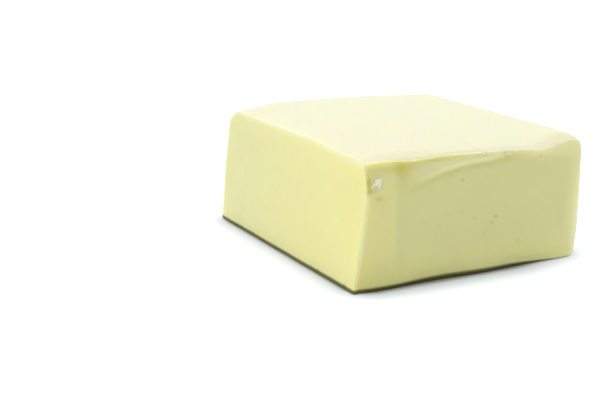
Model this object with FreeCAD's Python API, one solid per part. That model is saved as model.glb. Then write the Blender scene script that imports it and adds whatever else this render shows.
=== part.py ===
import FreeCAD, Part
import os

# A block of butter with one end sliced off: what is left of a pressed block of
# 100 x 75 x 35 mm. Millimetres, +Z up.
# While it is shaped, X runs from the top edge of the knife cut (x = 0) towards the
# moulded far end, Y from the front side (y = 0) to the back, and Z up from the board.
# The finished solid is then moved so that the origin is its box's bottom centre.

# Driving dimensions of the block, measured along its top
TOP_LENGTH = 72.5      # from the cut to the far end
WIDTH = 75.0
HEIGHT = 35.5          # at the crown of the top

# The moulded sides, which lean out towards the foot
END_FLARE = 2.2        # how far the foot of the far end stands out past its top
SIDE_FLARE = 1.1       # the same for the front and the back side
CORNER_RADIUS = 4.5    # the two upright corners of the far end
TOP_RADIUS = 3.0       # the pressed top edges, all round but for the cut
FOOT_RADIUS = 1.2      # the edges that lie on the board

# The knife cut
CUT_FLARE = 2.7        # how far the foot of the cut stands out past its top
CUT_BOW = 1.0          # how far the cut is hollowed behind a straight slope
CUT_SPARE = 15.0       # butter in front of the cut, which the knife takes off

# The strip of the front side that the knife dragged inwards, next to the cut
DRAG_LENGTH = 10.5
DRAG_DEPTH = 0.9

# The flat that the folded wrapper pressed into the front top edge: distance from the
# cut, height down the front side and depth into the top, at three places along it
FOLD_STATIONS = ((-4.0, 5.2, 1.1), (12.0, 8.6, 1.6), (46.0, 2.6, 0.4))

SPARE = 2.0            # how far a cutting wedge stands out of the butter


def moulded_block():
    """The block before it was sliced, with every edge but the knife's rounded."""
    block = Part.makeWedge(
        -CUT_SPARE, 0, -WIDTH - SIDE_FLARE, -WIDTH, -CUT_SPARE,
        TOP_LENGTH + END_FLARE, HEIGHT, SIDE_FLARE, 0, TOP_LENGTH)
    block.rotate(FreeCAD.Vector(), FreeCAD.Vector(1, 0, 0), 90)
    block = round_edges(block, CORNER_RADIUS, is_end_corner)
    block = round_edges(block, TOP_RADIUS, is_top_edge)
    return round_edges(block, FOOT_RADIUS, is_foot_edge)


def round_edges(shape, radius, wanted):
    """Fillets the edges of a shape that a test picks out."""
    return shape.makeFillet(radius, [edge for edge in shape.Edges if wanted(edge)])


def is_end_corner(edge):
    """An upright edge at the far end."""
    box = edge.BoundBox
    return box.ZLength > HEIGHT / 2 and box.XMin > 0


def is_top_edge(edge):
    """An edge round the top, but for the one that the knife takes off."""
    box = edge.BoundBox
    return box.ZMin > HEIGHT - TOP_RADIUS / 2 and box.XMax > 0


def is_foot_edge(edge):
    """An edge round the foot, but for the one that the knife takes off."""
    box = edge.BoundBox
    return box.ZMax < FOOT_RADIUS / 2 and box.XMax > 0


def knife_waste():
    """What the knife takes off: everything in front of a slope that bows inwards."""
    rise = FreeCAD.Vector(CUT_FLARE / HEIGHT, 0, 1)
    foot = FreeCAD.Vector(-CUT_FLARE, 0, 0)
    below = foot - rise
    middle = foot + rise * (HEIGHT / 2) + FreeCAD.Vector(CUT_BOW, 0, 0)
    above = foot + rise * (HEIGHT + 1)
    blade = Part.Arc(below, middle, above).toShape()
    rest = Part.makePolygon([
        above,
        FreeCAD.Vector(-2 * CUT_SPARE, 0, above.z),
        FreeCAD.Vector(-2 * CUT_SPARE, 0, below.z),
        below,
    ])
    outline = Part.Wire([blade] + rest.Edges)
    waste = Part.Face(outline).extrude(FreeCAD.Vector(0, WIDTH + 2 * SPARE, 0))
    waste.translate(FreeCAD.Vector(0, -SPARE, 0))
    return waste


def drag_waste():
    """A thin wedge along the front side, deepest at the cut, leaning as the side does."""
    sections = [drag_section(z) for z in (-1, HEIGHT + 1)]
    return Part.makeLoft(sections, True, True)


def drag_section(z):
    """The wedge's triangle at one height, carried on past the cut and the side."""
    side = -SIDE_FLARE * (1 - z / HEIGHT)
    start = -2 * CUT_FLARE
    depth = DRAG_DEPTH * (DRAG_LENGTH - start) / DRAG_LENGTH
    tip = DRAG_DEPTH * SPARE / DRAG_LENGTH
    return Part.makePolygon([
        FreeCAD.Vector(start, side + depth, z),
        FreeCAD.Vector(start, side - SPARE, z),
        FreeCAD.Vector(DRAG_LENGTH + SPARE, side - SPARE, z),
        FreeCAD.Vector(DRAG_LENGTH + SPARE, side - tip, z),
        FreeCAD.Vector(start, side + depth, z),
    ])


def fold_waste():
    """The wedge between the front top edge and the flat left by the wrapper's fold."""
    sections = [fold_section(*station) for station in FOLD_STATIONS]
    return Part.makeLoft(sections, True, True)


def fold_section(x, height, depth):
    """A triangle whose long side is the flat, carried on past both its ends."""
    side = -SIDE_FLARE * height / HEIGHT
    low = FreeCAD.Vector(x, side, HEIGHT - height)
    high = FreeCAD.Vector(x, depth, HEIGHT)
    beyond = (high - low) * (SPARE / height)
    outside = FreeCAD.Vector(x, low.y - SPARE, high.z)
    return Part.makePolygon([low - beyond, high + beyond, outside, low - beyond])


def butter_block():
    """The one solid: the moulded block less what the knife and the fold took."""
    block = moulded_block()
    for waste in (knife_waste(), drag_waste(), fold_waste()):
        block = block.cut(waste)
    return standing_at_origin(block.removeSplitter().Solids[0])


def standing_at_origin(shape):
    """Moves a shape so that the origin is the bottom centre of its box."""
    box = shape.optimalBoundingBox()
    shape.translate(FreeCAD.Vector(-box.Center.x, -box.Center.y, -box.ZMin))
    return shape


os.makedirs("parts", exist_ok=True)
block = butter_block()
block.exportStep("parts/butter_block.step")
box = block.optimalBoundingBox()
print("valid", block.isValid(), "volume cm3", round(block.Volume / 1000, 2))
print("box mm", [round(length, 3) for length in (box.XLength, box.YLength, box.ZLength)])
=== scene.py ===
"""A block of butter with one end sliced off, standing on a plain white floor.

Shapes are worked out in millimetres in the block's own places: `along` is the distance
from the top edge of the knife cut towards the moulded far end, `across` the distance from
the front side towards the back, and `up` the height above the floor. Finished meshes are
in metres in the row frame.
"""
from __future__ import annotations

import logging
import math
from dataclasses import dataclass, field
from enum import Enum

import bmesh
import bpy
from mathutils import Matrix, Quaternion, Vector, noise

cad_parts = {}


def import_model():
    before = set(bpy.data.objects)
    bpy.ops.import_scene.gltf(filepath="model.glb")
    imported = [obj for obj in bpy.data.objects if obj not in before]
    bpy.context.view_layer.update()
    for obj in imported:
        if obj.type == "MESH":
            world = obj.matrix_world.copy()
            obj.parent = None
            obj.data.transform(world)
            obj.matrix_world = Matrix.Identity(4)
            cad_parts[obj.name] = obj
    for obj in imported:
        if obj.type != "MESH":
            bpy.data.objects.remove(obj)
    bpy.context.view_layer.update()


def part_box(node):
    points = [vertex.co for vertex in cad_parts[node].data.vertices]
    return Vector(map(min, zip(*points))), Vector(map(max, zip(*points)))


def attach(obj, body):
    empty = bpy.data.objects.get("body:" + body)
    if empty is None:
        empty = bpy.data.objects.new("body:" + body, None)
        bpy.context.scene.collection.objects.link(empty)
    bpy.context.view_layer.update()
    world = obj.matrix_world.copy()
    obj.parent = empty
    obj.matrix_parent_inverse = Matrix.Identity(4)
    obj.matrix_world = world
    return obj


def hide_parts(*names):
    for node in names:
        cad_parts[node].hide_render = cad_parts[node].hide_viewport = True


LOG = logging.getLogger("butter")
MM = 0.001
NODE = "butter_block"
# The tones laid over the skin: the cut's own colour, also used as painted light; painted light and
# reflection; painted shade in hollows; the painted contact shadow along the foot.
TONES = ("fresh_and_lit", "painted_light", "painted_shade", "shade")


class Side(Enum):
    """The sides of the block, each with the way it faces."""

    FRONT = (0, -1, 0)
    BACK = (0, 1, 0)
    END = (1, 0, 0)
    CUT = (-1, 0, 0)
    TOP = (0, 0, 1)

    def share(self, normal: Vector) -> float:
        """How far a surface with this normal belongs to the side, from 0 to 1."""
        return smooth_step(0.45, 0.85, normal.dot(Vector(self.value)))


# ---------------------------------------------------------------- plain sums


def smooth_step(start: float, stop: float, value: float) -> float:
    """0 on start's side, 1 on stop's side, and smooth in between; start may be the larger."""
    part = min(max((value - start) / (stop - start), 0.0), 1.0)
    return part * part * (3 - 2 * part)


def mix(low: float, high: float, share: float) -> float:
    """The value that lies this share of the way from low to high."""
    return low + (high - low) * share


def bell(distance: float, spread: float) -> float:
    """A bell curve: 1 at no distance, dying away over a few spreads."""
    return math.exp(-0.5 * (distance / spread) ** 2)


def soft_max(first: float, second: float, softness: float) -> float:
    """The larger of two values, with the corner between them rounded."""
    half = (first - second) / 2
    return (first + second) / 2 + math.sqrt(half * half + softness * softness)


def crowd_to_ends(share: float, crowding: float) -> float:
    """Moves an even share towards 0 and 1, where small details need more points."""
    return share - crowding * math.sin(2 * math.pi * share) / (2 * math.pi)


def rounded_corner(inset_a: float, inset_b: float, radius: float) -> tuple[float, float]:
    """Moves a point near a square edge onto concentric arcs.

    Args:
        inset_a: distance inside the first of the two sides that meet at the edge.
        inset_b: distance inside the second.
        radius: of the rounded edge.

    Returns:
        The two distances after rounding. Points away from the edge stay as they are.
    """
    if inset_a >= radius or inset_b >= radius:
        return inset_a, inset_b
    a, b = radius - inset_a, radius - inset_b
    scale = max(a, b) / math.hypot(a, b)
    return radius - a * scale, radius - b * scale


def ripple(place: Vector, size: float, offset: float = 0.0) -> float:
    """Smooth noise between about -1 and 1, whose lumps are about size across."""
    return noise.noise(place / size + Vector((offset, 1.7 * offset, -offset)))


# ---------------------------------------------------------------- the block's sizes


@dataclass(frozen=True)
class BlockSize:
    """The block's measures in millimetres, fitted to the box of the CAD solid."""

    low: Vector
    high: Vector
    cut_flare: float = 2.7
    end_flare: float = 1.1
    side_flare: float = 1.06
    front_foot: float = 0.5

    @classmethod
    def from_frame(cls, node: str) -> BlockSize:
        """Reads the box of a CAD node."""
        low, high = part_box(node)
        return cls(low / MM, high / MM)

    @property
    def length(self) -> float:
        """Along the top, from the cut to the far end."""
        return self.high.x - self.low.x - self.cut_flare - self.end_flare

    @property
    def width(self) -> float:
        """Across the top, from the front side to the back."""
        return self.high.y - self.low.y - 2 * self.side_flare

    @property
    def height(self) -> float:
        """From the floor to the top."""
        return self.high.z - self.low.z

    @property
    def origin(self) -> Vector:
        """Where along, across and up are all 0, in the row frame."""
        return self.low + Vector((self.cut_flare, self.side_flare, 0))

    def to_row(self, place: Vector) -> Vector:
        """Turns a place on the block, in millimetres, into metres in the row frame."""
        return (self.origin + place) * MM


# ---------------------------------------------------------------- marks in the surface


@dataclass(frozen=True)
class Pit:
    """A small round hollow in a side, left by an air bubble.

    On the cut, `along` is the distance across the block.
    """

    along: float
    up: float
    radius: float
    depth: float

    def relief(self, along: float, up: float) -> float:
        """How far the surface moves out at a place: in at the pit, a little out at its rim.

        Args:
            along: the place's distance along its side.
            up: its height.

        Returns:
            The distance in millimetres, positive outwards.
        """
        distance = math.hypot(along - self.along, up - self.up)
        if distance > 4 * self.radius:
            return 0.0
        rim = 0.25 * self.depth * bell(distance - 1.5 * self.radius, 0.45 * self.radius)
        return rim - self.depth * bell(distance, 0.62 * self.radius)

    def shadow(self, along: float, up: float) -> float:
        """How much painted shade lies in the pit, from 0 to 1."""
        distance = math.hypot(along - self.along, up - self.up)
        return min(1.0, 1.7 * self.depth) * bell(distance, 0.75 * self.radius)


@dataclass(frozen=True)
class FoldMark:
    """The flat, the ridge and the groove that the folded wrapper pressed into the front top edge.

    Each station is a distance along the block, how far the flat reaches down the side there,
    and how far it reaches into the top.
    """

    stations: tuple = ((-4.0, 8.6, 1.2), (12.6, 9.6, 1.6), (16.0, 8.3, 1.45), (20.6, 7.0, 1.2),
                       (25.0, 5.8, 0.95), (31.0, 4.9, 0.65), (37.0, 4.6, 0.4), (48.0, 3.6, 0.4),
                       (54.0, 4.1, 0.8), (60.0, 4.9, 1.3), (66.0, 6.7, 2.0), (70.0, 8.6, 2.4))
    ridge_height: float = 0.42
    ridge_spread: float = 0.50
    undercut_depth: float = 0.18
    groove_depth: float = 0.30
    hollow_depth: float = 0.20
    ridge_start: tuple[float, float] = (9.0, 26.0)
    light_start: tuple[float, float] = (13.0, 25.0)
    shadow_start: tuple[float, float] = (11.0, 16.0)
    ridge_end: tuple[float, float] = (40.0, 48.0)
    groove_end: tuple[float, float] = (22.0, 34.0)

    def at(self, along: float) -> tuple[float, float]:
        """How far the flat reaches at one distance along the block.

        Args:
            along: the distance.

        Returns:
            How far down the side, and how far into the top.
        """
        stops = self.stations
        for (a, height_a, depth_a), (b, height_b, depth_b) in zip(stops, stops[1:]):
            if along <= b:
                share = min(max((along - a) / (b - a), 0.0), 1.0)
                return mix(height_a, height_b, share), mix(depth_a, depth_b, share)
        return stops[-1][1:]

    def inset(self, along: float, down: float) -> float:
        """How far the flat lies behind the upright side, this far below the top."""
        height, depth = self.at(along)
        return depth * (1 - down / height)

    def relief(self, along: float, down: float) -> float:
        """The ridge along the foot of the flat and the groove below the top edge.

        Args:
            along: the place's distance from the cut.
            down: its distance below the top.

        Returns:
            How far the surface moves, positive outwards.
        """
        below = down - self.at(along)[0]
        spread = self.ridge_spread if below > 0 else 2.0 * self.ridge_spread
        strength = smooth_step(*self.ridge_start, along) * (1 - smooth_step(*self.ridge_end, along))
        ridge = self.ridge_height * bell(below, spread) * strength
        undercut = self.undercut_depth * bell(below - 1.5, 0.8) * strength
        hollow = self.hollow_depth * bell(along - 12.5, 2.2) * bell(down - 5.0, 2.0)
        return ridge - undercut - hollow - self.groove_depth * self.groove(along, down)

    def groove(self, along: float, down: float) -> float:
        """How far into the groove a place lies: the groove narrows and rises away from the cut.

        Args:
            along: the place's distance from the cut.
            down: its distance below the top.

        Returns:
            A share from 0 to 1.
        """
        narrowing = smooth_step(11.0, 22.0, along)
        across = bell(down - mix(4.7, 3.6, narrowing), mix(1.25, 0.6, narrowing))
        return across * (1 - smooth_step(*self.groove_end, along))

    def light(self, along: float, down: float) -> float:
        """How much painted highlight lies on the flat and the crest of the ridge.

        Args:
            along: the place's distance from the cut.
            down: its distance below the top.

        Returns:
            A share from 0 to 1.
        """
        below = down - self.at(along)[0]
        strength = smooth_step(*self.light_start, along) * (1 - smooth_step(*self.ridge_end, along))
        flat = smooth_step(0.3, -0.8, below) * smooth_step(1.5, 3.5, down)
        return strength * max(0.55 * bell(below + 0.2, 0.45), 0.28 * flat)

    def shadow(self, along: float, down: float) -> float:
        """How much painted shade lies in the groove, in the hollow and under the ridge.

        Args:
            along: the place's distance from the cut.
            down: its distance below the top.

        Returns:
            A share from 0 to 1.
        """
        below = down - self.at(along)[0]
        strength = smooth_step(*self.shadow_start, along) * (1 - smooth_step(44.0, 52.0, along))
        under = 0.30 * bell(below - 1.4, 0.7) * strength
        hollow = 0.50 * bell(along - 12.0, 1.8) * bell(down - 5.5, 3.0)
        return min(1.0, 0.34 * self.groove(along, down) + under + hollow)


@dataclass(frozen=True)
class DraggedStrip:
    """The strip of the front side that the knife pulled inwards, next to the cut."""

    length: float = 10.5
    depth: float = 0.55
    swell_height: float = 0.12
    swell_along: float = 9.3
    burr_height: float = 0.22

    def inset(self, along: float) -> float:
        """How far the strip lies behind the front side."""
        return self.depth * (1 - along / self.length)

    def relief(self, along: float, up: float, from_cut: float) -> float:
        """The low swell where the strip begins, and the uneven burr along the cut.

        Args:
            along: the place's distance from the top edge of the cut.
            up: its height.
            from_cut: its distance from the cut at that height.

        Returns:
            How far the surface moves out.
        """
        swell = self.swell_height * bell(along - self.swell_along, 1.2) * smooth_step(2.0, 9.0, up)
        uneven = 0.7 + 0.5 * ripple(Vector((along, 0, up)), 3.0, 21.0)
        return swell + self.burr_height * bell(from_cut - 0.5, 0.4) * uneven

    def burr_highlight(self, from_cut: float) -> float:
        """How much painted highlight lies on the thin burr along the cut."""
        return 0.55 * bell(from_cut - 0.4, 0.55)

    def shadow(self, along: float, up: float) -> float:
        """The painted shade just beyond the swell and at the strip's foot.

        Args:
            along: the place's distance from the cut.
            up: its height.

        Returns:
            A share from 0 to 1.
        """
        beyond = 0.12 * bell(along - self.length - 1.0, 0.9)
        foot = smooth_step(self.length, self.length - 3.0, along) * smooth_step(12.0, 2.0, up)
        return beyond + 0.2 * foot


@dataclass(frozen=True)
class TornPlace:
    """Where the knife's heel tore a little butter out of the front side.

    Each hollow is its distance along, its height, its half length and half height, and its
    depth.
    """

    hollows: tuple = ((1.8, 28.0, 0.65, 1.30, 0.70), (2.1, 25.8, 0.75, 0.70, 0.60),
                      (4.8, 23.8, 1.3, 0.75, 0.35), (3.6, 25.9, 0.8, 0.5, 0.25))
    reach: float = 9.0
    lowest: float = 20.0

    def near(self, along: float, up: float) -> list[tuple[float, float]]:
        """How far a place is from each hollow.

        Args:
            along: the place's distance from the cut.
            up: its height.

        Returns:
            For each hollow, the distance in hollow sizes and the hollow's depth; nothing for
            a place that no hollow reaches.
        """
        if along > self.reach or up < self.lowest:
            return []
        return [(math.hypot((along - a) / spread_a, (up - b) / spread_b), depth)
                for a, b, spread_a, spread_b, depth in self.hollows]

    def relief(self, along: float, up: float) -> float:
        """How far the surface moves out at a place on the front side."""
        return -sum(depth * bell(distance, 0.75) for distance, depth in self.near(along, up))

    def shadow(self, along: float, up: float) -> float:
        """How much painted shade lies in the torn hollows, from 0 to 1."""
        return min(1.0, sum(1.6 * depth * bell(distance, 0.8)
                            for distance, depth in self.near(along, up)))


PITS = (
    Pit(41.3, 15.2, 0.60, 0.50), Pit(40.1, 13.6, 0.55, 0.45), Pit(34.2, 15.5, 0.50, 0.34),
    Pit(30.0, 17.6, 0.60, 0.18), Pit(23.0, 14.7, 0.50, 0.22), Pit(22.4, 12.8, 0.45, 0.14),
    Pit(36.7, 18.7, 0.60, 0.20), Pit(37.8, 10.8, 0.55, 0.20), Pit(30.1, 26.1, 0.55, 0.40),
    Pit(25.8, 28.2, 0.60, 0.14), Pit(56.2, 29.5, 0.50, 0.20), Pit(49.5, 7.4, 0.60, 0.18),
)

CUT_PITS = (
    Pit(58.5, 24.0, 0.55, 0.30), Pit(47.2, 9.6, 0.70, 0.35), Pit(31.8, 19.4, 0.50, 0.28),
    Pit(22.4, 6.8, 0.60, 0.32), Pit(14.6, 15.2, 0.45, 0.24), Pit(66.3, 12.1, 0.50, 0.26),
    Pit(33.2, 18.2, 0.40, 0.20), Pit(52.9, 27.3, 0.40, 0.20), Pit(9.8, 25.0, 0.45, 0.20),
)

BACK_PITS = (
    Pit(18.2, 11.3, 0.55, 0.32), Pit(20.1, 12.4, 0.40, 0.22), Pit(47.5, 21.8, 0.55, 0.30),
    Pit(61.0, 8.5, 0.50, 0.26), Pit(33.4, 27.0, 0.45, 0.22), Pit(55.7, 15.9, 0.40, 0.18),
)


@dataclass(frozen=True)
class Crease:
    """A straight line that a fold of the wrapper pressed into a side."""

    start: tuple[float, float]
    end: tuple[float, float]
    depth: float = 0.16
    spread: float = 0.5

    def relief(self, across: float, up: float) -> float:
        """How far the surface moves out at a place: in along the line, a little out beside it.

        Args:
            across: the place's distance along its side.
            up: its height.

        Returns:
            The distance in millimetres, positive outwards.
        """
        run = (self.end[0] - self.start[0], self.end[1] - self.start[1])
        gone = (across - self.start[0], up - self.start[1])
        share = (run[0] * gone[0] + run[1] * gone[1]) / (run[0] ** 2 + run[1] ** 2)
        share = min(max(share, 0.0), 1.0)
        distance = math.hypot(gone[0] - share * run[0], gone[1] - share * run[1])
        return self.depth * (0.5 * bell(distance - 2.2 * self.spread, self.spread)
                             - bell(distance, self.spread))


END_CREASES = (
    Crease((2.5, 2.0), (25.0, 17.5)), Crease((72.5, 2.0), (50.5, 17.0)),
    Crease((25.0, 17.5), (50.5, 17.0), 0.20), Crease((3.0, 33.0), (22.0, 19.5), 0.10),
    Crease((72.0, 33.0), (54.0, 19.0), 0.10),
)

BACK_CREASES = (
    Crease((0.0, 22.5), (38.0, 23.4), 0.14), Crease((38.0, 23.4), (71.0, 22.0), 0.14),
    Crease((64.0, 30.5), (71.0, 25.5), 0.10),
)


@dataclass
class ButterBlock:
    """The block itself: one closed mesh, its sides shaped by moulding, knife and wrapper."""

    size: BlockSize
    corner_radius: float = 5.3
    corner_zone: float = 8.0
    foot_radius: float = 1.1
    cut_edge_radius: float = 0.45
    top_cut_radius: float = 1.6
    cut_bow: float = 1.0
    cut_turn: float = 0.8
    cut_reach: float = 20.0
    worn_height: float = 10.0
    worn_depth: float = 1.2
    cuts: tuple[int, int, int] = (179, 109, 89)
    crowding: tuple[float, float, float] = (0.45, 0.5, 0.45)
    fold: FoldMark = field(default_factory=FoldMark)
    strip: DraggedStrip = field(default_factory=DraggedStrip)
    torn: TornPlace = field(default_factory=TornPlace)

    def build(self, name: str) -> bpy.types.Object:
        """Makes the mesh and its object.

        Args:
            name: of the new object.

        Returns:
            The object, linked to the scene.
        """
        mesh = bmesh.new()
        self.lay_grid(mesh)
        self.mould(mesh)
        mesh.normal_update()
        self.press_marks(mesh)
        mesh.normal_update()
        self.paint_tones(mesh)
        bmesh.ops.transform(mesh, matrix=Matrix.Translation(self.size.origin), verts=mesh.verts)
        bmesh.ops.scale(mesh, vec=(MM, MM, MM), verts=mesh.verts)
        return finished_object(mesh, name)

    def lay_grid(self, mesh: bmesh.types.BMesh) -> None:
        """Divides a cube into a grid that is finer towards its edges.

        Args:
            mesh: an empty mesh, which is filled.
        """
        bmesh.ops.create_cube(mesh, size=1.0)
        for axis, cuts in enumerate(self.cuts):
            edges = [edge for edge in mesh.edges if lies_along(edge, axis)]
            bmesh.ops.subdivide_edges(mesh, edges=edges, cuts=cuts, use_grid_fill=True)
        lengths = (self.size.length, self.size.width, self.size.height)
        for vert in mesh.verts:
            for axis, crowding in enumerate(self.crowding):
                share = crowd_to_ends(vert.co[axis] + 0.5, crowding)
                vert.co[axis] = share * lengths[axis]

    def mould(self, mesh: bmesh.types.BMesh) -> None:
        """Rounds the edges of the gridded cube and leans its sides.

        Args:
            mesh: the gridded cube.
        """
        for vert in mesh.verts:
            place = self.round_cut_edge(vert.co.copy())
            place = self.round_top_and_foot(place)
            place = self.round_corners(place)
            place = self.press_front(place)
            vert.co = self.lean(place)

    def nearest_side(self, place: Vector) -> tuple[float, int, int]:
        """How far inside the nearest upright side a place is; the cut isn't counted.

        Args:
            place: on the block in the making, in millimetres.

        Returns:
            The distance, the axis across that side, and the sign of the way inwards.
        """
        size = self.size
        choices = ((place.y, 1, 1), (size.width - place.y, 1, -1), (size.length - place.x, 0, -1))
        return min(choices)

    def move_in(self, place: Vector, inset: float) -> Vector:
        """Moves a place to another distance inside its nearest side, round the corners too.

        Args:
            place: on the block in the making, in millimetres.
            inset: the new distance inside that side.

        Returns:
            The moved place.
        """
        old, axis, sign = self.nearest_side(place)
        radius = self.corner_zone
        centre_x = self.size.length - radius
        centre_y = radius if place.y < self.size.width / 2 else self.size.width - radius
        beyond_x = place.x - centre_x
        beyond_y = (centre_y - place.y) * (1 if place.y < self.size.width / 2 else -1)
        moved = place.copy()
        if beyond_x > 0 and beyond_y > 0 and old < radius:
            scale = (radius - inset) / (radius - old)
            moved.x = centre_x + beyond_x * scale
            moved.y = centre_y + (place.y - centre_y) * scale
        else:
            moved[axis] += sign * (inset - old)
        return moved

    def round_cut_edge(self, place: Vector) -> Vector:
        """Takes the sharpness off the edges of the cut, most along the top's far part.

        Near the two ends of the cut's top edge and of its foot, a place moves along both of
        the sides that meet there, so that the rings of the grid stay nested.

        Args:
            place: on the block in the making, in millimetres.

        Returns:
            The moved place.
        """
        size, zone = self.size, self.corner_zone
        at_back, at_top = place.y > size.width / 2, place.z > size.height / 2
        insets = (size.width - place.y if at_back else place.y,
                  size.height - place.z if at_top else place.z)
        old = min(insets)
        new, into_cut = rounded_corner(old, place.x, self.cut_radius_at(place))
        if new == old:
            return Vector((into_cut, place.y, place.z))
        shrink = (zone - new) / (zone - old)
        across, up = (zone - (zone - inset) * shrink if inset < zone else inset
                      for inset in insets)
        return Vector((into_cut, size.width - across if at_back else across,
                       size.height - up if at_top else up))

    def cut_radius_at(self, place: Vector) -> float:
        """The radius of the knife's edge, which is softer along the top's far part."""
        share = smooth_step(0, 45, place.y) * smooth_step(0.85, 1.0, place.z / self.size.height)
        return mix(self.cut_edge_radius, self.top_cut_radius, share)

    def top_radius_at(self, place: Vector) -> float:
        """The radius of the top edge, which is softer near the cut and at the corners.

        Args:
            place: on the block in the making, in millimetres.

        Returns:
            The radius in millimetres.
        """
        size = self.size
        from_end = size.length - place.x
        back = mix(mix(6.0, 2.3, smooth_step(3, 16, place.x)), 4.6, smooth_step(26, 5, from_end))
        front = mix(1.8, 3.0, smooth_step(0, 14, place.x)) + 3.6 * smooth_step(50, 69, place.x)
        side = mix(front, back, smooth_step(0.3, 0.7, place.y / size.width))
        end = mix(5.6, 4.6, place.y / size.width)
        from_side = min(place.y, size.width - place.y)
        return mix(side, end, smooth_step(-5, 5, from_side - from_end))

    def round_top_and_foot(self, place: Vector) -> Vector:
        """Rounds the top edges and the edges that lie on the floor.

        Args:
            place: on the block in the making, in millimetres.

        Returns:
            The moved place.
        """
        inset = self.nearest_side(place)[0]
        if place.z > self.size.height / 2:
            new_inset, down = rounded_corner(inset, self.size.height - place.z,
                                             self.top_radius_at(place))
            moved = self.move_in(place, new_inset)
            moved.z = self.size.height - down
        else:
            new_inset, up = rounded_corner(inset, place.z, self.foot_radius)
            moved = self.move_in(place, new_inset)
            moved.z = up
        return moved

    def round_corners(self, place: Vector) -> Vector:
        """Rounds the two upright corners of the far end, more towards the foot.

        Args:
            place: on the block in the making, in millimetres.

        Returns:
            The moved place.
        """
        size = self.size
        front = place.y < size.width / 2
        inset = place.y if front else size.width - place.y
        radius = self.corner_radius * mix(1.3, 1.0, place.z / size.height)
        far, near = rounded_corner(size.length - place.x, inset, radius)
        return Vector((size.length - far, near if front else size.width - near, place.z))

    def press_front(self, place: Vector) -> Vector:
        """Presses the wrapper's flat and the dragged strip into the front side.

        Args:
            place: on the block in the making, in millimetres.

        Returns:
            The moved place.
        """
        moved = place.copy()
        limits = (self.fold.inset(place.x, self.size.height - place.z),
                  self.strip.inset(place.x))
        softness = mix(0.12, 0.3, smooth_step(46, 60, place.x))
        for limit in limits:
            if place.y < limit + 1.5 and limit > -2:
                share = smooth_step(limit + 1.5, limit + 0.4, place.y)
                share *= smooth_step(-2, -0.5, limit)
                moved.y = mix(moved.y, soft_max(moved.y, limit, softness), share)
        return moved

    def lean(self, place: Vector) -> Vector:
        """Leans every side out towards the foot, bows the cut and lowers the top's edges.

        Args:
            place: on the block in the making, in millimetres.

        Returns:
            The moved place.
        """
        size = self.size
        drop = 1 - place.z / size.height
        x = place.x + size.end_flare * drop * max(place.x, 0) / size.length
        middle = size.width / 2
        y = middle + (place.y - middle) * (1 + size.side_flare * drop / middle)
        y -= size.front_foot * drop * max(0.0, 1 - y / middle)
        reach = max(0.0, 1 - place.x / self.cut_reach)
        x += reach * self.cut_line(place.y, place.z)
        near_top = smooth_step(0.76, 1.0, place.z / size.height)
        return self.wear(Vector((x, y, place.z - near_top * self.lowering(place))))

    def cut_line(self, across: float, up: float) -> float:
        """Where along the block the cut runs, which leans, bows and turns in at the front.

        Args:
            across: the place's distance from the front side.
            up: its height.

        Returns:
            The cut's distance from its own top edge, negative where it stands out.
        """
        drop = 1 - up / self.size.height
        bow = 4 * mix(self.cut_bow, -0.3, across / self.size.width) * drop * (1 - drop)
        turned_in = self.cut_turn * (1 - smooth_step(0.0, 14.0, across)) * smooth_step(9, 28, up)
        return turned_in + bow - self.size.cut_flare * drop

    def lowering(self, place: Vector) -> float:
        """How far the top lies below its crown, along the front edge and the cut.

        Args:
            place: on the block in the making, in millimetres.

        Returns:
            The distance in millimetres.
        """
        edge = 0.35 + 0.5 * bell(place.x, 5.0) + 1.3 * bell(place.x - 14.0, 5.5)
        far = 1 - 0.9 * smooth_step(55.0, 67.0, place.x)
        front = far * edge * (1 - smooth_step(0.0, 7.0, place.y))
        slope = 1.35 + 1.1 * bell(place.x - 59.0, 7.0)
        gentle = far * slope * (1 - smooth_step(0.0, 30.0, place.y))
        return front + gentle + 0.45 * (1 - smooth_step(0.0, 12.0, place.x))

    def wear(self, place: Vector) -> Vector:
        """Wears the foot of the far end's upright corners away.

        Args:
            place: on the block in the making, in millimetres.

        Returns:
            The moved place.
        """
        size = self.size
        front = place.y < size.width / 2
        corner = Vector((size.length, 0 if front else size.width, place.z))
        share = max(0.0, 1 - place.z / self.worn_height) ** 1.6
        amount = self.worn_depth * share * bell((place - corner).length, 6.0)
        return place + Vector((-0.7, 0.7 if front else -0.7, 0)) * amount

    def press_marks(self, mesh: bmesh.types.BMesh) -> None:
        """Moves every point out or in by the marks at its place; the foot stays flat.

        Args:
            mesh: the moulded block.
        """
        moves = [(vert, vert.normal * self.relief(vert.co, vert.normal)) for vert in mesh.verts]
        for vert, move in moves:
            low = vert.co.z < 0.02
            vert.co += Vector((move.x, move.y, 0 if low else move.z))

    def relief(self, place: Vector, normal: Vector) -> float:
        """How far the surface moves out at a place.

        Args:
            place: on the moulded block.
            normal: of the surface there.

        Returns:
            The distance in millimetres, positive outwards.
        """
        along, up = place.x, place.z
        foot = smooth_step(0.0, 1.2, up)
        total = foot * (0.16 * ripple(place, 17.0) + 0.05 * ripple(place, 5.0, 3.0))
        total += foot * 0.012 * ripple(place, 1.1, 7.0)
        front = Side.FRONT.share(normal)
        if front > 0:
            total += front * self.front_relief(along, up)
        top = Side.TOP.share(normal)
        if top > 0:
            total += top * self.top_relief(place)
        cut = Side.CUT.share(normal)
        if cut > 0:
            total += cut * self.cut_relief(place)
        end = Side.END.share(normal)
        if end > 0:
            total += end * sum(crease.relief(place.y, up) for crease in END_CREASES)
        back = Side.BACK.share(normal)
        if back > 0:
            total += back * sum(crease.relief(along, up) for crease in BACK_CREASES)
            total += back * sum(pit.relief(along, up) for pit in BACK_PITS)
        return total

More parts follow.
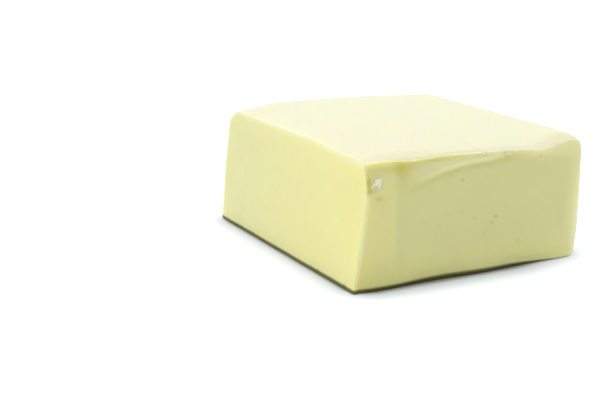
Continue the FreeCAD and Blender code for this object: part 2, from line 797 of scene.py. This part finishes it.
    def front_relief(self, along: float, up: float) -> float:
        """How far the marks of the front side move it out.

        Args:
            along: the place's distance from the cut.
            up: its height.

        Returns:
            The distance in millimetres.
        """
        total = self.fold.relief(along, self.size.height - up)
        total += self.strip.relief(along, up, along - self.cut_line(0.0, up))
        total += self.torn.relief(along, up)
        for pit in PITS:
            total += pit.relief(along, up)
        waver = 0.35 * math.sin(along / 5.2 + 0.6) * (1 - smooth_step(1.0, 6.0, up))
        return total + waver

    def top_relief(self, place: Vector) -> float:
        """How far the top moves out: it sags towards its edges and dips in two small places.

        Args:
            place: on the block in the making, in millimetres.

        Returns:
            The distance in millimetres.
        """
        middle = bell(place.x - 30.0, 20.0) * smooth_step(20, 60, place.y)
        sag = -0.75 * (1 - middle)
        dent = -0.18 * bell(math.hypot(place.x - 19.5, place.y - 7.0), 1.1)
        dip = -0.9 * bell(place.y - 60.0, 3.2) * bell(place.x, 3.0)
        return sag + dent + dip

    def cut_relief(self, place: Vector) -> float:
        """How far the knife's faint lines, the pits and the torn foot move the cut out.

        Args:
            place: on the block in the making, in millimetres.

        Returns:
            The distance in millimetres.
        """
        lines = ripple(Vector((place.y, 0.04 * place.z, 0)), 1.6, 11.0)
        broad = ripple(Vector((place.y, place.z, 0)), 12.0, 5.0)
        torn = ripple(Vector((place.y, place.z, 0)), 2.2, 31.0)
        ragged = -0.25 * max(0.0, torn) * smooth_step(4.5, 1.0, place.z) if place.z > 0.6 else 0.0
        pits = sum(pit.relief(place.y, place.z) for pit in CUT_PITS)
        return 0.05 * lines + 0.10 * broad + ragged + pits

    def paint_tones(self, mesh: bmesh.types.BMesh) -> None:
        """Stores how each point is toned, painted light and shade included, for the finish to read.

        Args:
            mesh: the finished block.
        """
        layers = {name: mesh.verts.layers.float.new(name) for name in TONES}
        for vert in mesh.verts:
            tones = self.tones_at(vert.co, vert.normal)
            for name, layer in layers.items():
                vert[layer] = tones[name]

    def tones_at(self, place: Vector, normal: Vector) -> dict[str, float]:
        """The share of each tone at one place on the block, from 0 to 1.

        Args:
            place: on the finished block, in millimetres.
            normal: of the surface there.

        Returns:
            For each of the TONES, its share.
        """
        along, up = place.x, place.z
        down = self.size.height - up
        fresh_and_lit, painted_light = self.broad_tones(place, normal)
        painted_shade = 0.0
        front = smooth_step(0.4, 0.8, -normal.y)
        if front > 0:
            # The dragged strip next to the cut: fresh butter, and also painted lighter where light
            # falls on it from the cut's side.
            fresh_and_lit = max(fresh_and_lit, 0.45 * front * (1 - smooth_step(8.5, 10.5, along)))
            # Painted highlights on the fold's flat, on the ridge's crest and on the burr along the
            # cut.
            light = self.fold.light(along, down)
            light = max(light, self.strip.burr_highlight(along - self.cut_line(0, up)))
            painted_light = max(painted_light, front * light)
            # Painted shade in the fold's groove and hollow, under its ridge, beside the strip, in
            # the torn hollows and in the pits; the painted highlight gives way to it.
            painted_shade = self.fold.shadow(along, down) + self.strip.shadow(along, up)
            painted_shade += self.torn.shadow(along, up)
            painted_shade += sum(pit.shadow(along, up) for pit in PITS)
            painted_shade = min(1.0, painted_shade * front)
            painted_light *= 1 - painted_shade
        # The painted contact shadow along the foot.
        reach = self.shade_height(along)
        return {"fresh_and_lit": fresh_and_lit, "painted_light": painted_light, "painted_shade": painted_shade,
                "shade": 1 - smooth_step(0.55 * reach, reach, up)}

    def broad_tones(self, place: Vector, normal: Vector) -> tuple[float, float]:
        """How much of the cut's tone, which also serves as painted light, and how much of the paler
        painted light each place gets, before the small marks of the front side.

        Args:
            place: on the finished block, in millimetres.
            normal: of the surface there.

        Returns:
            The shares of the cut's tone, also used as painted light, and of the painted light tone.
        """
        along, up = place.x, place.z
        down = self.size.height - up
        near_cut = 1 - smooth_step(5.0, 7.0, along)
        on_cut = smooth_step(0.55, 0.88, -normal.x) * near_cut
        across = place.y / self.size.width
        # The cut's own deeper yellow, fading towards the back: painted light, as the cut is
        # brighter near the front.
        fresh_and_lit = on_cut * mix(1.0, 0.12, across)
        # Painted light and reflection on the top and on the upper part of the rounded edges.
        painted_light = 0.35 * smooth_step(0.08, 0.30, normal.z) + 0.65 * smooth_step(0.42, 0.85, normal.z)
        below_top = down - self.lowering(place)
        # Painted highlight along the cut's top edge; the cut is also paler towards its back.
        painted_light = max(painted_light, 0.14 * on_cut * across, 0.55 * on_cut * smooth_step(3.2, 0.9, below_top))
        # Lighter and yellower towards the foot.
        fresh_and_lit = max(fresh_and_lit, 0.5 * (1 - smooth_step(1.0, 13.0, up)))
        # Painted light on the far end's upright corner, most near the foot, and on the rounded top
        # edge towards the far end.
        corner = smooth_step(self.size.length - 9.5, self.size.length - 2.5, along)
        corner *= smooth_step(0.1, 0.6, -normal.y)
        low = smooth_step(30.0, 8.0, up)
        bevel = smooth_step(44, 54, along) * smooth_step(0.08, 0.45, normal.z)
        fresh_and_lit = max(fresh_and_lit, corner * mix(0.35, 0.85, low), 0.85 * bevel)
        painted_light = max(painted_light, corner * mix(0.12, 0.42, low), 0.42 * bevel)
        return fresh_and_lit, painted_light

    def shade_height(self, along: float) -> float:
        """How far up from the floor the painted contact shadow along the foot reaches."""
        line = mix(1.45, 1.8, bell(along - 32.0, 12.0))
        return mix(line, 0.35, smooth_step(44.0, 68.0, along))


@dataclass(frozen=True)
class Crumb:
    """A small lump of butter that sticks to the block."""

    place: tuple[float, float, float]
    radii: tuple[float, float, float]
    turn: float
    seed: float


@dataclass
class LooseBits:
    """The crumbs that the knife and the wrapper left on the front side."""

    size: BlockSize
    crumbs: tuple[Crumb, ...] = (
        Crumb((4.4, 0.20, 28.2), (0.95, 0.65, 0.75), 0.3, 1.0),
        Crumb((4.9, 0.25, 27.3), (0.60, 0.50, 1.00), -0.15, 2.0),
        Crumb((3.6, 0.40, 27.6), (0.90, 0.45, 0.50), 0.6, 3.0),
        Crumb((4.2, 0.35, 27.4), (0.60, 0.45, 0.60), 0.1, 9.0),
        Crumb((2.9, 0.35, 26.9), (0.50, 0.40, 0.35), 0.5, 8.0),
        Crumb((37.0, 0.30, 32.3), (0.90, 0.45, 0.40), 0.5, 4.0),
        Crumb((38.6, 0.15, 31.5), (0.60, 0.45, 0.55), 0.2, 5.0),
        Crumb((43.0, 0.30, 32.0), (1.30, 0.40, 0.32), 0.35, 6.0),
        Crumb((45.2, 0.20, 31.4), (1.00, 0.38, 0.30), -0.35, 7.0),
    )
    fineness: int = 3

    def build(self, name: str) -> bpy.types.Object:
        """Makes all the crumbs as one mesh.

        Args:
            name: of the new object.

        Returns:
            The object, linked to the scene.
        """
        mesh = bmesh.new()
        for crumb in self.crumbs:
            made = bmesh.ops.create_icosphere(mesh, subdivisions=self.fineness, radius=1.0)
            self.shape(mesh, made["verts"], crumb)
        return finished_object(mesh, name)

    def shape(self, mesh: bmesh.types.BMesh, verts: list, crumb: Crumb) -> None:
        """Makes one ball lumpy, stretches and turns it, and puts it in its place.

        Args:
            mesh: the one that holds all the crumbs.
            verts: the ball's own points.
            crumb: what the ball becomes.
        """
        for vert in verts:
            lump = 0.42 * ripple(vert.co, 0.9, crumb.seed) + 0.16 * ripple(vert.co, 0.4, crumb.seed)
            vert.co *= 1 + lump
        bmesh.ops.scale(mesh, vec=Vector(crumb.radii) * MM, verts=verts)
        bmesh.ops.rotate(mesh, matrix=Matrix.Rotation(-crumb.turn, 3, "Y"), verts=verts)
        bmesh.ops.translate(mesh, vec=self.size.to_row(Vector(crumb.place)), verts=verts)


def lies_along(edge: bmesh.types.BMEdge, axis: int) -> bool:
    """Whether an edge runs along one axis."""
    step = edge.verts[1].co - edge.verts[0].co
    return abs(step[axis]) > 0.999 * step.length


def finished_object(mesh: bmesh.types.BMesh, name: str) -> bpy.types.Object:
    """Turns a bmesh into a smooth-shaded object in the scene, and frees it.

    Args:
        mesh: the shape, in metres in the row frame.
        name: of the new object and its data.

    Returns:
        The object.
    """
    bmesh.ops.recalc_face_normals(mesh, faces=mesh.faces)
    for face in mesh.faces:
        face.smooth = True
    data = bpy.data.meshes.new(name)
    mesh.to_mesh(data)
    mesh.free()
    made = bpy.data.objects.new(name, data)
    bpy.context.collection.objects.link(made)
    return made


# ---------------------------------------------------------------- shader sums


class Wire:
    """One socket's value, with which shader sums are written as Python expressions."""

    def __init__(self, paint: Paint, socket: bpy.types.NodeSocket) -> None:
        """Wraps a socket of a material's nodes."""
        self.paint = paint
        self.socket = socket

    def sum(self, operation: str, *values: Wire | float) -> Wire:
        """Adds a Math node."""
        return self.paint.node("ShaderNodeMath", {"operation": operation}, dict(enumerate(values)))

    def __add__(self, other: Wire | float) -> Wire:
        """self + other."""
        return self.sum("ADD", self, other)

    def __radd__(self, other: float) -> Wire:
        """other + self."""
        return self.sum("ADD", other, self)

    def __sub__(self, other: Wire | float) -> Wire:
        """self - other."""
        return self.sum("SUBTRACT", self, other)

    def __rsub__(self, other: float) -> Wire:
        """other - self."""
        return self.sum("SUBTRACT", other, self)

    def __mul__(self, other: Wire | float) -> Wire:
        """self * other."""
        return self.sum("MULTIPLY", self, other)

    def __rmul__(self, other: float) -> Wire:
        """other * self."""
        return self.sum("MULTIPLY", other, self)

    def clamped(self) -> Wire:
        """The value held between 0 and 1."""
        return self.paint.node("ShaderNodeClamp", {}, {"Value": self})

    def smooth(self, start: float, stop: float) -> Wire:
        """0 at start, 1 at stop, and a smooth rise in between."""
        values = {"Value": self, "From Min": start, "From Max": stop}
        return self.paint.node("ShaderNodeMapRange", {"interpolation_type": "SMOOTHSTEP"}, values,
                               "Result")


class Paint:
    """The nodes of one material or world."""

    def __init__(self, owner: bpy.types.Material | bpy.types.World) -> None:
        """Empties the node tree of a material or a world.

        Args:
            owner: the material or world.
        """
        owner.use_nodes = True
        self.tree = owner.node_tree
        self.tree.nodes.clear()

    def node(self, kind: str, settings: dict, values: dict, output: str | int = 0) -> Wire:
        """Adds a node.

        Args:
            kind: the node's type.
            settings: attributes that are set before the sockets.
            values: numbers, colours or wires, by the input's name or number.
            output: which of the node's outputs is wanted.

        Returns:
            That output.
        """
        made = self.tree.nodes.new(kind)
        for key, value in settings.items():
            setattr(made, key, value)
        for key, value in values.items():
            if isinstance(value, Wire):
                self.tree.links.new(value.socket, made.inputs[key])
            else:
                made.inputs[key].default_value = value
        return Wire(self, made.outputs[output])

    def blend(self, share: Wire | float, low: Wire | tuple, high: Wire | tuple,
              how: str = "MIX") -> Wire:
        """Mixes two colours.

        Args:
            share: how much of the second colour, from 0 to 1.
            low: the first colour.
            high: the second.
            how: the way of mixing.

        Returns:
            The mixed colour.
        """
        made = self.tree.nodes.new("ShaderNodeMix")
        made.data_type = "RGBA"
        made.blend_type = how
        for name, value in (("Factor_Float", share), ("A_Color", low), ("B_Color", high)):
            socket = next(item for item in made.inputs if item.identifier == name)
            if isinstance(value, Wire):
                self.tree.links.new(value.socket, socket)
            else:
                socket.default_value = value
        return Wire(self, next(item for item in made.outputs if item.identifier == "Result_Color"))

    def place(self) -> Wire:
        """Object coordinates."""
        return self.node("ShaderNodeTexCoord", {}, {}, "Object")

    def noise(self, place: Wire, per_metre: float, detail: float, roughness: float = 0.5) -> Wire:
        """Smooth noise from 0 to 1."""
        values = {"Vector": place, "Scale": per_metre, "Detail": detail, "Roughness": roughness}
        return self.node("ShaderNodeTexNoise", {"normalize": True}, values, "Fac")


def rgb(red: float, green: float, blue: float) -> tuple[float, float, float, float]:
    """An opaque linear colour."""
    return (red, green, blue, 1.0)


@dataclass(frozen=True)
class ButterFinish:
    """Pale yellow butter: waxy, a little translucent, deeper in colour where it is cut."""

    skin: tuple = rgb(0.778, 0.755, 0.350)
    skin_deep: tuple = rgb(0.763, 0.735, 0.320)
    # The top colour is painted light and reflection.
    top: tuple = rgb(0.905, 0.893, 0.625)
    # The cut colour is the cut's own yellow, and is also used as painted light.
    cut: tuple = rgb(0.920, 0.855, 0.350)
    # The deeper yellow is painted shade in hollows.
    painted_shade: tuple = rgb(0.72, 0.67, 0.16)
    # The shade colour is the painted contact shadow along the foot.
    shade: tuple = rgb(0.14, 0.125, 0.005)
    roughness: float = 0.44
    depth: float = 3.2 * MM
    reach: tuple[float, float, float] = (1.0, 0.78, 0.30)

    def material(self, name: str) -> bpy.types.Material:
        """Makes the material.

        Args:
            name: of the new material.

        Returns:
            The material, ready to put on a piece.
        """
        made = bpy.data.materials.new(name)
        paint = Paint(made)
        place = paint.place()
        clouds = paint.noise(place, 70.0, 3.0)
        grain = paint.noise(place, 900.0, 3.0, 0.6)
        tone = paint.blend(clouds.smooth(0.3, 0.7) * 0.55, self.skin, self.skin_deep)
        # Over the skin go the cut's colour with painted light, painted light, painted shade in
        # hollows and the painted contact shadow.
        for name_of_tone, colour in zip(TONES, (self.cut, self.top, self.painted_shade, self.shade)):
            share = paint.node("ShaderNodeAttribute", {"attribute_name": name_of_tone}, {}, "Fac")
            tone = paint.blend(share, tone, colour)
        tone = paint.blend(grain.smooth(0.62, 0.78) * 0.10, tone, rgb(0.95, 0.93, 0.70))
        rough = self.roughness + (paint.noise(place, 160.0, 4.0) - 0.5) * 0.22
        relief = paint.noise(place, 420.0, 4.0, 0.55) * 0.7 + grain * 0.3
        bump = paint.node("ShaderNodeBump", {}, {"Strength": 0.25, "Distance": 0.0002,
                                                 "Height": relief}, "Normal")
        shader = paint.node("ShaderNodeBsdfPrincipled", {"subsurface_method": "RANDOM_WALK"}, {
            "Base Color": tone, "Roughness": rough, "Normal": bump, "IOR": 1.46,
            "Subsurface Weight": 1.0, "Subsurface Radius": self.reach,
            "Subsurface Scale": self.depth}, "BSDF")
        connect_surface(paint, shader)
        return made


@dataclass(frozen=True)
class CrumbFinish:
    """The paler finish of the small crumbs."""

    body: tuple = rgb(0.95, 0.94, 0.74)
    low: tuple = rgb(0.90, 0.88, 0.55)
    roughness: float = 0.42

    def material(self, name: str) -> bpy.types.Material:
        """Makes the material.

        Args:
            name: of the new material.

        Returns:
            The material, ready to put on a piece.
        """
        made = bpy.data.materials.new(name)
        paint = Paint(made)
        spots = paint.noise(paint.place(), 900.0, 2.0).smooth(0.35, 0.65)
        shader = paint.node("ShaderNodeBsdfPrincipled", {}, {
            "Base Color": paint.blend(spots, self.low, self.body), "Roughness": self.roughness,
            "IOR": 1.46}, "BSDF")
        connect_surface(paint, shader)
        return made


def connect_surface(paint: Paint, shader: Wire) -> None:
    """Adds the output node of a material or a world.

    Args:
        paint: its nodes.
        shader: what the output shows.
    """
    kind = "ShaderNodeOutputWorld" if isinstance(paint.tree.id_data, bpy.types.World) else \
        "ShaderNodeOutputMaterial"
    output = paint.tree.nodes.new(kind)
    paint.tree.links.new(shader.socket, output.inputs["Surface"])


# ---------------------------------------------------------------- the studio


@dataclass(frozen=True)
class SunLamp:
    """A broad, soft light from one direction."""

    name: str
    towards: tuple[float, float, float]
    strength: float
    spread_degrees: float

    def build(self) -> bpy.types.Object:
        """Makes the lamp. `towards` points from the block to the light.

        Returns:
            The lamp.
        """
        data = bpy.data.lights.new(self.name, "SUN")
        data.energy = self.strength
        data.angle = math.radians(self.spread_degrees)
        lamp = bpy.data.objects.new(self.name, data)
        lamp.rotation_mode = "QUATERNION"
        lamp.rotation_quaternion = Vector(self.towards).to_track_quat("Z", "Y")
        bpy.context.collection.objects.link(lamp)
        return lamp


@dataclass(frozen=True)
class Camera:
    """The camera, placed from the middle of the block's foot."""

    place: tuple[float, float, float] = (-174.9, -254.0, 92.8)
    azimuth: float = -29.6
    elevation: float = 15.27
    roll: float = 1.19
    lens: float = 63.8
    sensor: float = 36.0

    def build(self) -> bpy.types.Object:
        """Makes the camera and gives it to the scene.

        Returns:
            The camera.
        """
        data = bpy.data.cameras.new("camera")
        data.lens = self.lens
        data.sensor_width = self.sensor
        data.clip_start = 0.01
        camera = bpy.data.objects.new("camera", data)
        turn, tilt = math.radians(self.azimuth), math.radians(self.elevation)
        back = Vector((math.sin(turn) * math.cos(tilt), -math.cos(turn) * math.cos(tilt),
                       math.sin(tilt)))
        level = back.to_track_quat("Z", "Y")
        camera.rotation_mode = "QUATERNION"
        camera.rotation_quaternion = level @ Quaternion((0, 0, 1), math.radians(self.roll))
        camera.location = Vector(self.place) * MM
        bpy.context.collection.objects.link(camera)
        bpy.context.scene.camera = camera
        return camera


@dataclass(frozen=True)
class Studio:
    """A white floor, a white surround, soft lamps and the camera."""

    floor_size: float = 12.0
    floor_glow: tuple = rgb(0.45, 0.47, 0.50)
    floor_far: tuple = rgb(0.68, 0.71, 0.75)
    # The colour of the painted contact shadow on the floor.
    floor_contact_shadow: tuple = rgb(0.30, 0.32, 0.30)
    foot_reach: tuple[float, float] = (31.2 * MM, 32.6 * MM)
    foot_round: float = 6.0 * MM
    sky: tuple = ((1.12, (0, 0, 1)), (0.98, (0, 1, 0)), (0.85, (1, 0, 0)),
                  (0.25, (-1, 0, 0)))
    lamps: tuple[SunLamp, ...] = (SunLamp("key", (-0.42, 0.25, 0.87), 0.82, 50.0),)

    def build(self) -> None:
        """Makes the floor, the surround, the lamps and the camera."""
        self.build_floor()
        self.build_surround()
        for lamp in self.lamps:
            lamp.build()
        Camera().build()
        bpy.context.scene.view_settings.view_transform = "Standard"

    def build_floor(self) -> None:
        """Makes the floor, which isn't part of the object."""
        mesh = bmesh.new()
        bmesh.ops.create_grid(mesh, x_segments=1, y_segments=1, size=self.floor_size / 2)
        floor = finished_object(mesh, "floor")
        material = bpy.data.materials.new("white_floor")
        paint = Paint(material)
        gap = self.gap_to_block(paint)
        # Painted contact shadow on the floor round the foot of the block.
        tone = paint.blend(gap.smooth(0.3 * MM, 3.0 * MM), self.floor_contact_shadow, self.floor_far)
        # The floor glows evenly, but the glow fades out near the block: painted soft shadow.
        glow = paint.blend(gap.smooth(-1.5 * MM, 10.5 * MM), rgb(0, 0, 0), self.floor_glow)
        shader = paint.node("ShaderNodeBsdfPrincipled", {}, {
            "Base Color": tone, "Roughness": 0.9, "Specular IOR Level": 0.0,
            "Emission Color": glow, "Emission Strength": 1.0}, "BSDF")
        connect_surface(paint, shader)
        floor.data.materials.append(material)

    def gap_to_block(self, paint: Paint) -> Wire:
        """How far a place on the floor is from the foot of the block, in metres.

        Args:
            paint: the floor's nodes.

        Returns:
            The distance, with a little added towards the far end, where the shadow is narrower.
        """
        place = paint.place()
        total = 0.0
        for axis, reach in zip(((1, 0, 0), (0, 1, 0)), self.foot_reach):
            part = paint.node("ShaderNodeVectorMath", {"operation": "DOT_PRODUCT"},
                              {0: place, 1: axis}, "Value")
            beyond = part.sum("MAXIMUM", part.sum("ABSOLUTE", part) - reach, 0.0)
            total = total + beyond * beyond
        far = paint.node("ShaderNodeVectorMath", {"operation": "DOT_PRODUCT"},
                         {0: place, 1: (1, 0, 0)}, "Value").smooth(10 * MM, 38 * MM)
        return total.sum("SQRT", total) - self.foot_round + far * (5.5 * MM)

    def build_surround(self) -> None:
        """A surround that the camera sees as white, and that lights the block softly."""
        world = bpy.data.worlds.new("surround")
        bpy.context.scene.world = world
        paint = Paint(world)
        seen = paint.node("ShaderNodeLightPath", {}, {}, "Is Camera Ray")
        way = paint.node("ShaderNodeTexCoord", {}, {}, "Generated")
        light = 0.0
        for strength, towards in self.sky:
            facing = paint.node("ShaderNodeVectorMath", {"operation": "DOT_PRODUCT"},
                                {0: way, 1: towards}, "Value").clamped()
            light = light + facing * facing * strength
        tone = paint.blend(seen, light, rgb(1.0, 1.0, 1.0))
        shader = paint.node("ShaderNodeBackground", {}, {"Color": tone}, "Background")
        connect_surface(paint, shader)


def report(piece: bpy.types.Object) -> None:
    """Logs a piece's name and its number of faces."""
    LOG.info("%s: %d faces", piece.name, len(piece.data.polygons))


def main() -> None:
    """Builds the block around the frame, dresses it, and sets the studio round it."""
    logging.basicConfig(level=logging.INFO, format="%(name)s: %(message)s")
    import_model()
    size = BlockSize.from_frame(NODE)
    butter = ButterFinish().material("butter")
    crumbly = CrumbFinish().material("butter_crumbs")
    block = ButterBlock(size).build("block")
    bits = LooseBits(size).build("crumbs")
    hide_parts(NODE)
    for piece, material in ((block, butter), (bits, crumbly)):
        piece.data.materials.append(material)
        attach(piece, "root")
        report(piece)
    Studio().build()


if __name__ == "__main__":
    main()
